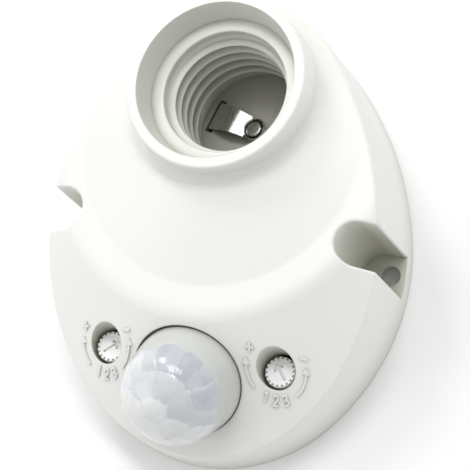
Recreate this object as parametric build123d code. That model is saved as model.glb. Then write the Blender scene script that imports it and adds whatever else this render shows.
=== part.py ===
from build123d import *
from math import asin, atan, cos, degrees, hypot, pi, radians, sin, sqrt, tan
import os

# A lamp holder with a built-in motion sensor, screwed flat to a wall or ceiling. All sizes in mm.
# The origin is the middle of the flat back, +Z points out of the wall, and +Y points to the socket end.

# Oval base of the housing
base_width = 77.0
base_length = 99.2
tail_heading = 50.0555      # direction in which the tail arc hands over to the side arc, degrees
side_heading = 105.0        # from the side arc to the shoulder arc
shoulder_heading = 133.658  # from the shoulder arc to the nose arc
wall_draft = 2.0            # degrees, from the mould
wall = 2.2
crease_radius = 0.9         # rounding between the front and the side wall

# Front of the housing: a round, shallow dome with a flat brim and a sloping skirt, all turned on one axis
dome_offset = 10.45         # from the socket axis to the dome axis
brim_z = 28.7
dome_rise = 9.33            # of its middle over the brim
brim_slope = 0.06
brim_width = 6.1            # from the crisp edge of the dome out to where the brim turns down into the skirt
skirt_run = 12.35           # from that turn out to the middle of the lens
skirt_slope = 0.72
skirt_rounding = 5.8
brim_rounding = 4.0         # small enough to read as a crisp edge

# Lamp socket
rim_z = 40.5
rim_outer_radius = 19.7
nose_margin = 4.7           # from the rim out to the edge of the base
rim_inner_radius = 17.5
rim_rounding = 0.5
neck_draft = 1.5            # degrees
neck_fillet = 2.4
ledge_depth = 6.6           # from the rim down to the top of the thread sleeve
ledge_radius = 16.35        # inside of the shroud at that depth
sleeve_clearance = 0.1
sleeve_flange = 1.2
barrel_radius = 15.3        # inside of the tube that takes the sleeve
barrel_wall = 1.8
entry_radius = 13.7
entry_length = 4.0
thread_crest_radius = 12.27
thread_root_radius = 13.3
thread_pitch = 3.629        # E27
thread_turns = 5
foot_radius = 13.4          # plain bore under the thread
floor_z = 9.8               # floor of the socket

# Contact carrier, the round floor of the socket
carrier_plug = 1.8
carrier_flange = 2.2
ear_reach = 20.6            # from the socket axis to the screws of the carrier
ear_angle = -24.0           # the ears point a little to the sensor end, degrees
ear_radius = 2.9
boss_radius = 3.0
pilot_radius = 1.1
screw_radius = 1.05
screw_head_radius = 2.3
screw_head = 1.5
screw_grip = 6.0            # depth of the pilot hole in a boss
screw_tip_gap = 1.0
drive_length = 2.6          # cross recess of a screw head
drive_width = 0.6
drive_depth = 1.4

# Contacts
strip_thickness = 0.4
strip_root_width = 6.6
strip_tip_width = 4.2
strip_root = (-10.9, 2.4)   # from the socket axis
strip_tip = (0.0, -0.7)
strip_rise = 2.4            # the tip stands this much over the root
strip_tail = 4.4            # length that goes down through the carrier
button_radius = 1.3
button_height = 0.6
groove_radius = 2.1         # ring pressed round the button
slot_clearance = 0.65
side_contact_angle = -60.0  # where the side contact stands round the socket, degrees
side_contact_radius = 12.6
side_contact_width = 4.0
side_contact_height = 2.4
side_contact_lean = 8.0     # degrees, towards the lamp cap

# Wall screw recesses at both sides
recess_inset = 5.2          # from the widest place in to the centre of the round inner end
recess_y = -2.7
recess_radius = 4.5
recess_wall = 1.8
recess_floor_z = 4.0
recess_floor = 1.8
recess_rounding = 0.5       # of its rim
wall_screw_inset = 3.6      # from the widest place in to the screw
wall_screw_radius = 2.25

# Motion sensor lens
lens_inset = 14.8           # from the tail end to the centre of the lens hole on the skirt
lens_hole_radius = 12.45
lens_gap = 0.35
lens_dome_radius = 11.5
lens_dome_height = 4.6      # centre of the dome over the skirt
lens_wall = 0.8
lens_flange_radius = 14.7
lens_flange = 0.9
lens_seat_depth = 2.3
lens_boss_wall = 1.6
lens_boss_depth = 4.3
seat_clearance = 0.15
ring_width = 1.5
ring_thickness = 1.0

# Adjusting dials
dial_x = 19.5
dial_rise = 5.3             # from the lens towards the socket
dial_hole_radius = 4.03
dial_tube_wall = 1.2
dial_tube_z = 14.6
rotor_top_z = 17.2
rotor_radius = 3.05
rotor_thickness = 1.9
rotor_stem_radius = 1.5
rotor_stem = 3.0
rotor_clearance = 0.05
rotor_teeth = 14
tooth_radius = 0.28
arrow_length = 4.0
arrow_width = 0.75
arrow_head = 2.3
arrow_depth = 0.7
time_arrow_angle = 38.6     # degrees from +X
lux_arrow_angle = 130.0
trimmer_width = 7.0
trimmer_chamfer = 0.6
trimmer_collar_radius = 3.4
trimmer_gap = 0.5           # from the trimmer body to the tube above it

# Rear cover
cover_thickness = 2.0
cover_gap = 0.25
cover_rib = 1.2
cover_rib_height = 1.3
cover_screw_angle = 36.2    # of the two tail screws, round the tail arc
cover_screw_inset = 5.4     # from the edge of the base
countersink_radius = 2.4
sink_clearance = 0.1        # from the back of the cover down to the screw head
head_gap = 0.05
cover_boss_gap = 0.5        # from the cover's rib to the bosses and recesses beside it
cable_reach = 21.5          # from the socket axis, to the left
cable_drop = 14.7           # from the socket axis, towards the tail
cable_radius = 3.4
grommet_lip = 1.3
grommet_set_back = 0.2      # from the back of the cover

# Circuit board and what stands on it
board_bottom_z = 6.0
board_thickness = 1.6
board_gap = 1.0             # from the board's edge to the wall
board_tail_inset = 9.6      # from the tail end
recess_gap = 1.5            # from the recess walls to the full width of the board
tongue_side_gap = 3.5       # from the recess walls to the narrow part of the board
tongue_end_gap = 2.5        # from the tube of the socket to the narrow part
board_screw_inset = 13.2    # from the widest place
board_screw_drop = 7.0      # from the full width towards the tail
can_radius = 4.6
can_height = 4.2
can_rim = 0.5
can_drop = 1.0              # from the lens towards the tail
can_spacer = 6.4
spacer_wall = 1.5
window_width = 4.6
window_depth = 3.4
window_thickness = 0.4
pin_radius = 0.25
pin_circle = 2.54
photocell_place = (9.0, 4.8)  # from the lens
photocell_radius = 2.5
photocell_thickness = 2.0
photocell_leg = 5.4
relay_place = (-10.4, -6.1)  # this place, and those below, from the board's end at the socket
relay_size = (18.4, 10.2, 15.3)
relay_rounding = 0.5
film_place = (-9.0, -15.2)
film_size = (13.0, 5.5, 11.0)
film_rounding = 0.9
electrolytic_place = (3.6, -5.6)
electrolytic_radius = 4.0
electrolytic_height = 12.0
electrolytic_rounding = 0.6
bead_z = 1.5                # rolled groove near the foot of the can
bead_width = 0.7
bead_depth = 0.35
chip_place = (3.3, -15.2)
chip_size = (10.0, 4.4, 2.4)
chip_lift = 0.5
chip_chamfer = 0.4
chip_legs = 8
chip_leg_pitch = 1.2
chip_leg = (0.4, 1.1, 1.3)
diode_radius = 1.35
diode_length = 4.8
diode_lead = 0.6
diode_count = 4
diode_pitch = 2.9
diode_first = (10.3, -11.55)
terminal_place = (14.0, -4.6)
terminal_size = (10.2, 7.6, 10.0)
terminal_pitch = 5.0
terminal_chamfer = 1.2
terminal_screw_radius = 1.7
terminal_screw = 2.0        # length of a clamping screw
terminal_clearance = 0.15
terminal_well = 3.0
terminal_mouth = (3.0, 3.0, 3.0)
terminal_mouth_z = 2.2
lead_radius = 0.6
lead_z = 4.0
lead_bend = 1.0
lead_gap = 0.2              # solder between lead and contact
lead_inset = 2.0            # from the end of the board

touching = 0.05             # how near to a face a point counts as on it
steep = 0.95                # upward share from which an edge counts as upright
edge_samples = (0.1, 0.5, 0.9)

nose_radius = rim_outer_radius + nose_margin
socket_y = base_length / 2 - nose_radius
dome_y = socket_y - dome_offset
recess_x = base_width / 2 - recess_inset
wall_screw_x = base_width / 2 - wall_screw_inset
lens_y = lens_inset - base_length / 2
skirt_radius = dome_y - lens_y - skirt_run
brim_radius = skirt_radius - brim_width
dome_slope = dome_rise / brim_radius
dial_y = lens_y + dial_rise
can_y = lens_y - can_drop
board_top_z = board_bottom_z + board_thickness
board_tail_y = board_tail_inset - base_length / 2
board_full_y = recess_y - recess_radius - recess_wall - recess_gap
board_tongue_y = socket_y - barrel_radius - barrel_wall - tongue_end_gap
ledge_z = rim_z - ledge_depth


# Radii of the tail, side and shoulder arcs, so that the outline closes at its width and length
def arc_radii():
    first, second, third = radians(tail_heading), radians(side_heading), radians(shoulder_heading)
    half_width = base_width / 2
    tail_share = (1 - sin(first)) / sin(first)
    shoulder_share = (1 - sin(second)) / (sin(second) - sin(third))
    tail_part = half_width / sin(first)
    shoulder_part = (half_width - nose_radius * sin(third)) / (sin(second) - sin(third))
    left = base_length - nose_radius * (1 + cos(third)) - tail_part * (1 - cos(first))
    left -= shoulder_part * (cos(second) - cos(third))
    per_side = cos(first) - cos(second) - tail_share * (1 - cos(first))
    per_side -= shoulder_share * (cos(second) - cos(third))
    side = left / per_side
    return tail_part - tail_share * side, side, shoulder_part - shoulder_share * side


def along_arc(start, radius, heading, end):
    return (start[0] + radius * (sin(end) - sin(heading)), start[1] + radius * (cos(heading) - cos(end)))


# Outline of the base: tail arc, side arcs, long shoulder arcs and nose arc, each tangent to the next
def outline(inset=0.0):
    low = (0, inset - base_length / 2)
    ends = [radians(angle) for angle in (tail_heading, side_heading, shoulder_heading)]
    corners = [low]
    middles = []
    for radius, heading, end in zip(arc_radii(), [0] + ends, ends):
        middles.append(along_arc(corners[-1], radius - inset, heading, (heading + end) / 2))
        corners.append(along_arc(corners[-1], radius - inset, heading, end))
    corner_a, corner_b, corner_c = corners[1:]
    side_mid, shoulder_mid = middles[1:]

    def mirrored(point):
        return (-point[0], point[1])

    arcs = [
        ThreePointArc(mirrored(corner_a), low, corner_a),
        ThreePointArc(corner_a, side_mid, corner_b),
        ThreePointArc(corner_b, shoulder_mid, corner_c),
        ThreePointArc(corner_c, (0, -low[1]), mirrored(corner_c)),
        ThreePointArc(mirrored(corner_c), mirrored(shoulder_mid), mirrored(corner_b)),
        ThreePointArc(mirrored(corner_b), mirrored(side_mid), mirrored(corner_a)),
    ]
    return make_face(Wire(arcs).edges())


# Height of the front at a distance from the dome axis, before rounding
def skirt_height(distance):
    brim_end = brim_z - brim_slope * (skirt_radius - brim_radius)
    return brim_end - skirt_slope * (distance - skirt_radius)


def dome_height(distance):
    return brim_z + dome_slope * (brim_radius - distance)


# The turned front, as a solid of revolution; inset moves every face inwards by one wall
def front_form(inset=0.0):
    def lowered(height, slope):
        return height - inset * sqrt(1 + slope ** 2)

    apex = lowered(dome_height(0), dome_slope)
    brim = lowered(brim_z + brim_slope * brim_radius, brim_slope)
    skirt = lowered(skirt_height(0), skirt_slope)
    edge = (apex - brim) / (dome_slope - brim_slope)
    turn = (skirt - brim) / (skirt_slope - brim_slope)
    reach = base_length
    brim_corner = (edge, apex - dome_slope * edge)
    skirt_corner = (turn, brim - brim_slope * turn)
    far_corner = (reach, skirt - skirt_slope * reach)
    points = [(0, apex), brim_corner, skirt_corner, far_corner, (0, far_corner[1]), (0, apex)]
    profile = make_face(Polyline(points).edges())
    for corner, rounding in ((brim_corner, brim_rounding), (skirt_corner, skirt_rounding)):
        profile = fillet(profile.vertices().sort_by_distance(corner)[0], rounding - inset)
    solid = revolve(Plane.XZ * profile, Axis.Z)
    return Pos(0, dome_y, 0) * solid


def drafted_block(inset, low_z, high_z):
    start = inset + low_z * tan(radians(wall_draft))
    block = extrude(outline(start), high_z - low_z, taper=wall_draft)
    return Pos(0, 0, low_z) * block


def tube(outer, inner, low_z, high_z):
    height = high_z - low_z
    ring = Cylinder(outer, height) - Cylinder(inner, height)
    return Pos(0, 0, low_z + height / 2) * ring


def rod(radius, low_z, high_z):
    height = high_z - low_z
    return Pos(0, 0, low_z + height / 2) * Cylinder(radius, height)


# Frame of the lens: origin on the skirt, Z square to it
lens_tilt = degrees(atan(skirt_slope))
lens_z = skirt_height(dome_y - lens_y)
lens_place = Pos(0, lens_y, lens_z) * Rot(lens_tilt, 0, 0)

socket_place = Pos(0, socket_y, 0)
ear_x = ear_reach * cos(radians(ear_angle))
ear_y = socket_y + ear_reach * sin(radians(ear_angle))
boss_places = [Pos(x, ear_y, 0) for x in (-ear_x, ear_x)]
tail_radius = arc_radii()[0]
tail_place = Pos(0, tail_radius - base_length / 2, 0)
cover_places = [
    tail_place * Rot(0, 0, turn) * Pos(0, cover_screw_inset - tail_radius, 0)
    for turn in (-cover_screw_angle, cover_screw_angle)
]
cover_places.append(Pos(0, base_length / 2 - cover_screw_inset, 0))
board_screw_x = base_width / 2 - board_screw_inset
board_places = [Pos(x, board_full_y - board_screw_drop, 0) for x in (-board_screw_x, board_screw_x)]
screw_hole_places = [Pos(x, recess_y, 0) for x in (-wall_screw_x, wall_screw_x)]
cable_place = socket_place * Pos(-cable_reach, -cable_drop, 0)
board_end = Pos(0, board_tongue_y, board_top_z)
dial_places = {"time": Pos(-dial_x, dial_y, 0), "lux": Pos(dial_x, dial_y, 0)}


# A scoop that is open to the front and to the side, round at its inner end
def scoop(side, grown, low_z):
    radius = recess_radius + grown
    length = base_width / 2
    height = rim_z
    end = rod(radius, low_z, low_z + height)
    run = Pos(side * length / 2, 0, low_z + height / 2) * Box(length, 2 * radius, height)
    return Pos(side * recess_x, recess_y, 0) * (end + run)


def neck():
    height = rim_z
    low_radius = rim_outer_radius + height * tan(radians(neck_draft))
    solid = Pos(0, 0, height / 2) * Cone(low_radius, rim_outer_radius, height)
    return socket_place * solid


def is_upright(edge):
    return abs((edge % 0.5).Z) > steep


# Edges between the front and the side wall
def crease_edges(shell):
    walls = [face for face in shell.faces() if abs(face.normal_at().Z) < sin(radians(2 * wall_draft))]
    return [
        edge for face in walls for edge in face.edges()
        if edge.center().Z > recess_floor_z and not is_upright(edge)
    ]


# Edges where the neck of the socket rises from the front
def neck_edges(solid):
    low = rim_outer_radius
    high = low + rim_z * tan(radians(neck_draft)) + touching

    def on_neck(point):
        return low < hypot(point.X, point.Y - socket_y) < high

    return [
        edge for edge in solid.edges()
        if wall < edge.center().Z < rim_z - wall
        and all(on_neck(edge @ sample) for sample in edge_samples)
        and not is_upright(edge)
    ]


# Edges where a recess breaks through the front and the side wall
def recess_edges(solid):
    def on_recess(point):
        reach = abs(point.X) - recess_x
        across = point.Y - recess_y
        away = abs(across) if reach > 0 else hypot(reach, across)
        return abs(away - recess_radius) < touching and point.Z > recess_floor_z + touching

    def is_rim(edge):
        return not is_upright(edge) or abs(edge.center().X) > recess_x + touching

    return [
        edge for edge in solid.edges()
        if all(on_recess(edge @ sample) for sample in edge_samples) and is_rim(edge)
    ]


# Outside of the housing with its recesses
def outer_form():
    shell = front_form() & drafted_block(0, 0, rim_z)
    shell = fillet(crease_edges(shell), crease_radius)
    shell = shell + neck()
    shell = fillet(neck_edges(shell), neck_fillet)
    rim = shell.edges().filter_by(GeomType.CIRCLE).sort_by(Axis.Z)[-1]
    shell = fillet(rim, rim_rounding)
    for side in (-1, 1):
        shell -= scoop(side, 0, recess_floor_z)
    return fillet(recess_edges(shell), recess_rounding)


# Hollow behind the front, one wall thick all round
def inner_form():
    return front_form(wall) & drafted_block(wall, -wall, rim_z)


def front_housing():
    outer = outer_form()
    inner = inner_form()
    hollow = outer - inner
    barrel_outer = barrel_radius + barrel_wall
    inside = socket_place * rod(barrel_outer, floor_z - carrier_plug, rim_z - ledge_depth)
    for place in boss_places:
        inside += place * rod(boss_radius, floor_z - carrier_plug, rim_z)
    for place in cover_places:
        inside += place * rod(boss_radius, cover_thickness + cover_gap, rim_z)
    for place in board_places:
        inside += place * rod(boss_radius, board_top_z, rim_z)
    for place in dial_places.values():
        inside += place * rod(dial_hole_radius + dial_tube_wall, dial_tube_z, rim_z)
    lens_boss = lens_flange_radius + seat_clearance + lens_boss_wall
    inside += lens_place * rod(lens_boss, -lens_boss_depth, lens_boss_depth)
    for side in (-1, 1):
        inside += scoop(side, recess_wall, recess_floor_z - recess_floor)
    body = hollow + (inside & inner)

    shroud = Pos(0, 0, ledge_z + ledge_depth / 2) * Cone(ledge_radius, rim_inner_radius, ledge_depth)
    step_z = ledge_z - sleeve_flange
    shroud += rod(ledge_radius, step_z, ledge_z)
    shroud += rod(barrel_radius, -wall, step_z)
    body -= socket_place * shroud
    for side in (-1, 1):
        body -= scoop(side, 0, recess_floor_z)
    for place in screw_hole_places:
        body -= place * rod(wall_screw_radius, -wall, rim_z)
    for place in dial_places.values():
        body -= place * rod(dial_hole_radius, -wall, rim_z)
    seat = lens_flange_radius + seat_clearance
    body -= lens_place * rod(seat, -lens_boss_depth - lens_flange_radius, -lens_seat_depth)
    body -= lens_place * rod(lens_hole_radius, -lens_boss_depth, lens_boss_depth)
    for place in boss_places:
        body -= place * rod(pilot_radius, 0, floor_z - carrier_plug + screw_grip)
    for place in cover_places:
        body -= place * rod(pilot_radius, 0, cover_thickness + cover_gap + screw_grip)
    for place in board_places:
        body -= place * rod(pilot_radius, 0, board_top_z + screw_grip)
    return body


def thread_sleeve():
    outer = barrel_radius - sleeve_clearance
    flange_outer = ledge_radius - sleeve_clearance
    step_z = ledge_z - sleeve_flange
    half = thread_pitch / 2
    mid = (thread_crest_radius + thread_root_radius) / 2
    first_z = ledge_z - entry_length - half
    last_z = first_z - (thread_turns - 1) * thread_pitch
    low_z = last_z - half
    lines = [
        Polyline(
            (foot_radius, low_z), (foot_radius, floor_z), (outer, floor_z), (outer, step_z),
            (flange_outer, step_z), (flange_outer, ledge_z), (entry_radius, ledge_z),
            (entry_radius, first_z + half), (mid, first_z + half / 2),
        ),
        Line((mid, last_z - half / 2), (foot_radius, low_z)),
    ]
    for turn in range(thread_turns):
        crest_z = first_z - turn * thread_pitch
        top = (mid, crest_z + half / 2)
        bottom = (mid, crest_z - half / 2)
        lines.append(ThreePointArc(top, (thread_crest_radius, crest_z), bottom))
        if turn < thread_turns - 1:
            following = (mid, crest_z - half * 3 / 2)
            lines.append(ThreePointArc(bottom, (thread_root_radius, crest_z - half), following))
    edges = [edge for line in lines for edge in line.edges()]
    return socket_place * revolve(Plane.XZ * make_face(edges), Axis.Z)


# Direction and length of the centre contact, seen from the front
strip_run = (strip_tip[0] - strip_root[0], strip_tip[1] - strip_root[1])
strip_length = hypot(*strip_run)
strip_angle = degrees(atan(strip_run[1] / strip_run[0]))
strip_place = socket_place * Pos(strip_root[0], strip_root[1], floor_z) * Rot(0, 0, strip_angle)
side_place = socket_place * Rot(0, 0, side_contact_angle) * Pos(side_contact_radius, 0, floor_z)


def bent_strip(points, width):
    profile = trace(Polyline(points), strip_thickness)
    return extrude(Plane.XZ * profile, width / 2, both=True)


def centre_contact():
    reach = strip_length + strip_tip_width
    points = [(0, -strip_tail), (0, strip_top(0)), (reach, strip_top(reach))]
    strip = bent_strip(points, strip_root_width)
    half_root = strip_root_width / 2
    half_tip = strip_tip_width / 2
    back = -strip_thickness
    plan = make_face(
        Polyline(
            (back, -half_root), (0, -half_root), (strip_length, -half_tip),
            (strip_length, half_tip), (0, half_root), (back, half_root), (back, -half_root),
        ).edges()
    )
    plan += Pos(strip_length, 0) * Circle(half_tip)
    strip &= Pos(0, 0, -strip_tail) * extrude(plan, strip_tail + rim_z)
    slope = degrees(atan(strip_rise / strip_length))
    top = Pos(strip_length, 0, strip_top(strip_length)) * Rot(0, -slope, 0)
    strip -= top * tube(groove_radius, button_radius, 0, strip_thickness)
    button = rod(button_radius, 0, strip_thickness / 2 + button_height)
    button = fillet(button.edges().sort_by(Axis.Z)[-1], button_height / 2)
    return strip_place * (strip + top * button)


def strip_top(along):
    return strip_thickness / 2 + strip_rise * along / strip_length


def side_contact():
    lean = side_contact_height * tan(radians(side_contact_lean))
    points = [(0, -strip_tail), (0, 0), (-lean, side_contact_height)]
    return side_place * bent_strip(points, side_contact_width)


def contact_carrier():
    plug_z = floor_z - carrier_plug
    low_z = plug_z - carrier_flange
    disc = rod(barrel_radius - sleeve_clearance, plug_z, floor_z)
    solid = socket_place * (disc + rod(barrel_radius + barrel_wall, low_z, plug_z))
    for place, angle in zip(boss_places, (180 - ear_angle, ear_angle)):
        arm = Pos(ear_reach / 2, 0, (low_z + plug_z) / 2) * Box(ear_reach, 2 * ear_radius, carrier_flange)
        solid += socket_place * Rot(0, 0, angle) * arm
        solid += place * rod(ear_radius, low_z, plug_z)
    for place in boss_places:
        solid -= place * rod(screw_radius + sleeve_clearance, low_z, plug_z)
    solid -= cover_places[-1] * rod(boss_radius + head_gap, low_z, plug_z)
    depth = 2 * (carrier_plug + carrier_flange)
    gap = strip_thickness + 2 * slot_clearance
    solid -= strip_place * Box(gap, strip_root_width + 2 * slot_clearance, depth)
    solid -= side_place * Box(gap, side_contact_width + 2 * slot_clearance, depth)
    return solid


def cross_recess(low_z):
    bars = Box(drive_length, drive_width, 2 * drive_depth) + Box(drive_width, drive_length, 2 * drive_depth)
    return Pos(0, 0, low_z) * bars


# A screw that is driven from the back; grip is the thickness of what it holds
def pan_screw(head_low_z, grip):
    shoulder = head_low_z + screw_head
    head = rod(screw_head_radius, head_low_z, shoulder)
    head = fillet(head.edges().sort_by(Axis.Z)[0], screw_head / 2)
    shank = rod(screw_radius, shoulder, shoulder + grip + screw_grip - screw_tip_gap)
    return head + shank - cross_recess(head_low_z - drive_depth / 2)


def carrier_screws():
    low_z = floor_z - carrier_plug - carrier_flange - screw_head
    return [place * pan_screw(low_z, carrier_flange) for place in boss_places]


def board_screws():
    return [place * pan_screw(board_bottom_z - screw_head, board_thickness) for place in board_places]


def countersunk_screw():
    head_radius = countersink_radius - sink_clearance - head_gap
    head_height = head_radius - screw_radius
    head = Pos(0, 0, sink_clearance + head_height / 2) * Cone(head_radius, screw_radius, head_height)
    shank = rod(screw_radius, sink_clearance, cover_thickness + cover_gap + screw_grip - screw_tip_gap)
    return head + shank - cross_recess(sink_clearance)


def rear_cover_screws():
    return [place * countersunk_screw() for place in cover_places]


def rear_cover():
    plate = extrude(outline(wall + cover_gap), cover_thickness)
    rib_inset = wall + cover_gap + cover_boss_gap
    rib = extrude(outline(rib_inset) - outline(rib_inset + cover_rib), cover_thickness + cover_rib_height)
    for place in cover_places:
        rib -= place * rod(boss_radius + cover_boss_gap, 0, rim_z)
    for side in (-1, 1):
        rib -= scoop(side, recess_wall + cover_boss_gap, 0)
    rib -= cable_place * rod(cable_radius + 2 * grommet_lip + cover_boss_gap, 0, rim_z)
    plate += rib
    sink = countersink_radius - screw_radius
    for place in cover_places:
        plate -= place * rod(screw_radius + sleeve_clearance, 0, cover_thickness)
        plate -= place * Pos(0, 0, sink / 2) * Cone(countersink_radius, screw_radius, sink)
    for place in screw_hole_places:
        plate -= place * rod(wall_screw_radius + cover_boss_gap, 0, cover_thickness)
    plate -= cable_place * rod(cable_radius + grommet_lip, 0, cover_thickness)
    return plate


def cable_grommet():
    bush = rod(cable_radius + grommet_lip, grommet_set_back, cover_thickness)
    lip = rod(cable_radius + 2 * grommet_lip, cover_thickness, cover_thickness + grommet_lip)
    lip = fillet(lip.edges().sort_by(Axis.Z)[-1], grommet_lip / 2)
    bore = rod(cable_radius, 0, cover_thickness + grommet_lip)
    return cable_place * (bush + lip - bore)


# Profile of the lens, in the frame of the lens: radius and height over the skirt
def lens_profile(grown):
    radius = lens_dome_radius + grown
    collar = lens_hole_radius - lens_gap + grown
    top = lens_dome_height + radius
    shoulder = (radius, lens_dome_height)
    crown = (radius * sin(pi / 4), lens_dome_height + radius * sin(pi / 4))
    return collar, shoulder, crown, top


def lens_solid(grown, low):
    collar, shoulder, crown, top = lens_profile(grown)
    lines = [
        Polyline((0, top), (0, low), (collar, low), (collar, 0)),
        Line((collar, 0), shoulder),
        ThreePointArc(shoulder, crown, (0, top)),
    ]
    edges = [edge for line in lines for edge in line.edges()]
    return revolve(Plane.XZ * make_face(edges), Axis.Z)


def pir_lens():
    low = -lens_seat_depth - lens_flange
    shell = lens_solid(0, low)
    shell += rod(lens_flange_radius, low, -lens_seat_depth)
    shell -= lens_solid(-lens_wall, low)
    return lens_place * shell


def lens_retaining_ring():
    high = -lens_seat_depth - lens_flange
    outer = lens_flange_radius + seat_clearance - rotor_clearance
    return lens_place * tube(outer, outer - ring_width, high - ring_thickness, high)


def trimmer_body(place):
    top = dial_tube_z - trimmer_gap
    height = top - board_top_z
    block = Pos(0, 0, board_top_z + height / 2) * Box(trimmer_width, trimmer_width, height)
    block = chamfer(block.edges().filter_by(Axis.Z), trimmer_chamfer)
    disc_low = rotor_top_z - rotor_thickness
    block += rod(trimmer_collar_radius, top, disc_low - rotor_clearance)
    bore_low = disc_low - rotor_stem - rotor_clearance
    return place * (block - rod(rotor_stem_radius + rotor_clearance, bore_low, disc_low))


def trimmer_rotor(place, angle):
    low_z = rotor_top_z - rotor_thickness
    disc = rod(rotor_radius, low_z, rotor_top_z)
    for index in range(rotor_teeth):
        turn = Rot(0, 0, index * 360 / rotor_teeth) * Pos(rotor_radius, 0, 0)
        disc += turn * rod(tooth_radius, low_z, rotor_top_z - rotor_clearance)
    disc += rod(rotor_stem_radius, low_z - rotor_stem, low_z)
    half = arrow_length / 2
    shaft = Pos(-arrow_head / 4, 0) * Rectangle(arrow_length - arrow_head / 2, arrow_width)
    head = make_face(
        Polyline(
            (half, 0), (half - arrow_head / 2, arrow_head / 2),
            (half - arrow_head / 2, -arrow_head / 2), (half, 0),
        ).edges()
    )
    cut = Pos(0, 0, rotor_top_z - arrow_depth) * extrude(shaft + head, arrow_depth)
    return place * Rot(0, 0, angle) * (disc - cut)


def circuit_board():
    board = outline(wall + board_gap)
    lower = Pos(0, (board_full_y + board_tail_y) / 2) * Rectangle(base_width, board_full_y - board_tail_y)
    tongue_height = board_tongue_y - board_full_y
    tongue_width = 2 * (recess_x - recess_radius - recess_wall - tongue_side_gap)
    tongue = Pos(0, board_tongue_y - tongue_height / 2) * Rectangle(tongue_width, tongue_height)
    board &= lower + tongue
    for place in cover_places:
        board -= place * Circle(boss_radius + board_gap / 2)
    for place in board_places:
        board -= place * Circle(screw_radius + sleeve_clearance)
    return Pos(0, 0, board_bottom_z) * extrude(board, board_thickness)


def sensor_spacer():
    outer = can_radius + can_rim
    return Pos(0, can_y, 0) * tube(outer, outer - spacer_wall, board_top_z, board_top_z + can_spacer)


def pir_sensor():
    low_z = board_top_z + can_spacer
    can = rod(can_radius, low_z, low_z + can_height)
    can = fillet(can.edges().sort_by(Axis.Z)[-1], can_rim)
    can += rod(can_radius + can_rim, low_z, low_z + can_rim)
    for angle in (45, 135, 270):
        can += Rot(0, 0, angle) * Pos(pin_circle, 0, 0) * rod(pin_radius, board_top_z, low_z)
    top = low_z + can_height
    can -= Pos(0, 0, top) * Box(window_width, window_depth, 2 * window_thickness)
    return Pos(0, can_y, 0) * can


def sensor_window():
    top = board_top_z + can_spacer + can_height
    return Pos(0, can_y, top - window_thickness / 2) * Box(window_width, window_depth, window_thickness)


def light_sensor():
    low_z = board_top_z + photocell_leg
    disc = rod(photocell_radius, low_z, low_z + photocell_thickness)
    disc = fillet(disc.edges().sort_by(Axis.Z)[-1], photocell_thickness / 3)
    for x in (-pin_circle / 2, pin_circle / 2):
        disc += Pos(x, 0, 0) * rod(pin_radius, board_top_z, low_z)
    return Pos(photocell_place[0], lens_y + photocell_place[1], 0) * disc


def standing_block(place, size, rounding):
    block = board_end * Pos(*place, size[2] / 2) * Box(*size)
    return fillet(block.edges().filter_by(Axis.Z) + block.edges().group_by(Axis.Z)[-1], rounding)


def relay():
    return standing_block(relay_place, relay_size, relay_rounding)


def film_capacitor():
    return standing_block(film_place, film_size, film_rounding)


def smoothing_capacitor():
    can = rod(electrolytic_radius, 0, electrolytic_height)
    can = fillet(can.edges().sort_by(Axis.Z)[-1], electrolytic_rounding)
    can -= tube(2 * electrolytic_radius, electrolytic_radius - bead_depth, bead_z, bead_z + bead_width)
    return board_end * Pos(*electrolytic_place, 0) * can


def control_chip():
    body = Pos(0, 0, chip_lift + chip_size[2] / 2) * Box(*chip_size)
    body = chamfer(body.edges().group_by(Axis.Z)[-1], chip_chamfer)
    for side in (-1, 1):
        for index in range(chip_legs):
            x = (index - (chip_legs - 1) / 2) * chip_leg_pitch
            y = side * (chip_size[1] + chip_leg[1]) / 2
            body += Pos(x, y, chip_leg[2] / 2) * Box(*chip_leg)
    return board_end * Pos(*chip_place, 0) * body


def rectifier_diodes():
    diodes = []
    for index in range(diode_count):
        body = Rot(90, 0, 0) * Cylinder(diode_radius, diode_length)
        for side in (-1, 1):
            y = side * (diode_length + diode_lead) / 2
            body += Pos(0, y, -diode_radius / 2) * Box(diode_lead, diode_lead, diode_radius)
        place = Pos(diode_first[0] + index * diode_pitch, diode_first[1], diode_radius)
        diodes.append(board_end * place * body)
    return diodes


def terminal_wells():
    return [
        board_end * Pos(terminal_place[0] + x, terminal_place[1], terminal_size[2])
        for x in (-terminal_pitch / 2, terminal_pitch / 2)
    ]


def terminal_block():
    block = board_end * Pos(*terminal_place, terminal_size[2] / 2) * Box(*terminal_size)
    block = chamfer(block.edges().filter_by(Axis.X).group_by(Axis.Z)[-1], terminal_chamfer)
    for well in terminal_wells():
        block -= well * rod(terminal_screw_radius + terminal_clearance, -terminal_well, rim_z)
        mouth_z = terminal_mouth_z + terminal_mouth[2] / 2 - terminal_size[2]
        block -= well * Pos(0, terminal_size[1] / 2, mouth_z) * Box(*terminal_mouth)
    return block


def terminal_screws():
    screws = []
    top = terminal_screw - terminal_well
    for well in terminal_wells():
        screw = rod(terminal_screw_radius, -terminal_well, top)
        screw -= Pos(0, 0, top) * Box(2 * terminal_screw_radius, drive_width, drive_depth)
        screws.append(well * screw)
    return screws


# A stiff wire from the foot of a contact along the back of the board to its solder joint
def board_lead(x, y):
    top_z = floor_z - strip_tail - lead_gap
    end_y = board_tongue_y - lead_inset
    path = FilletPolyline(
        (x, y, top_z), (x, y, lead_z), (x, end_y, lead_z), (x, end_y, board_bottom_z), radius=lead_bend
    )
    return sweep(Pos(x, y, top_z) * Circle(lead_radius), path=path)


def live_lead():
    root = strip_place.position
    return board_lead(root.X, root.Y)


def neutral_lead():
    root = side_place.position
    return board_lead(root.X, root.Y)


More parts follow.
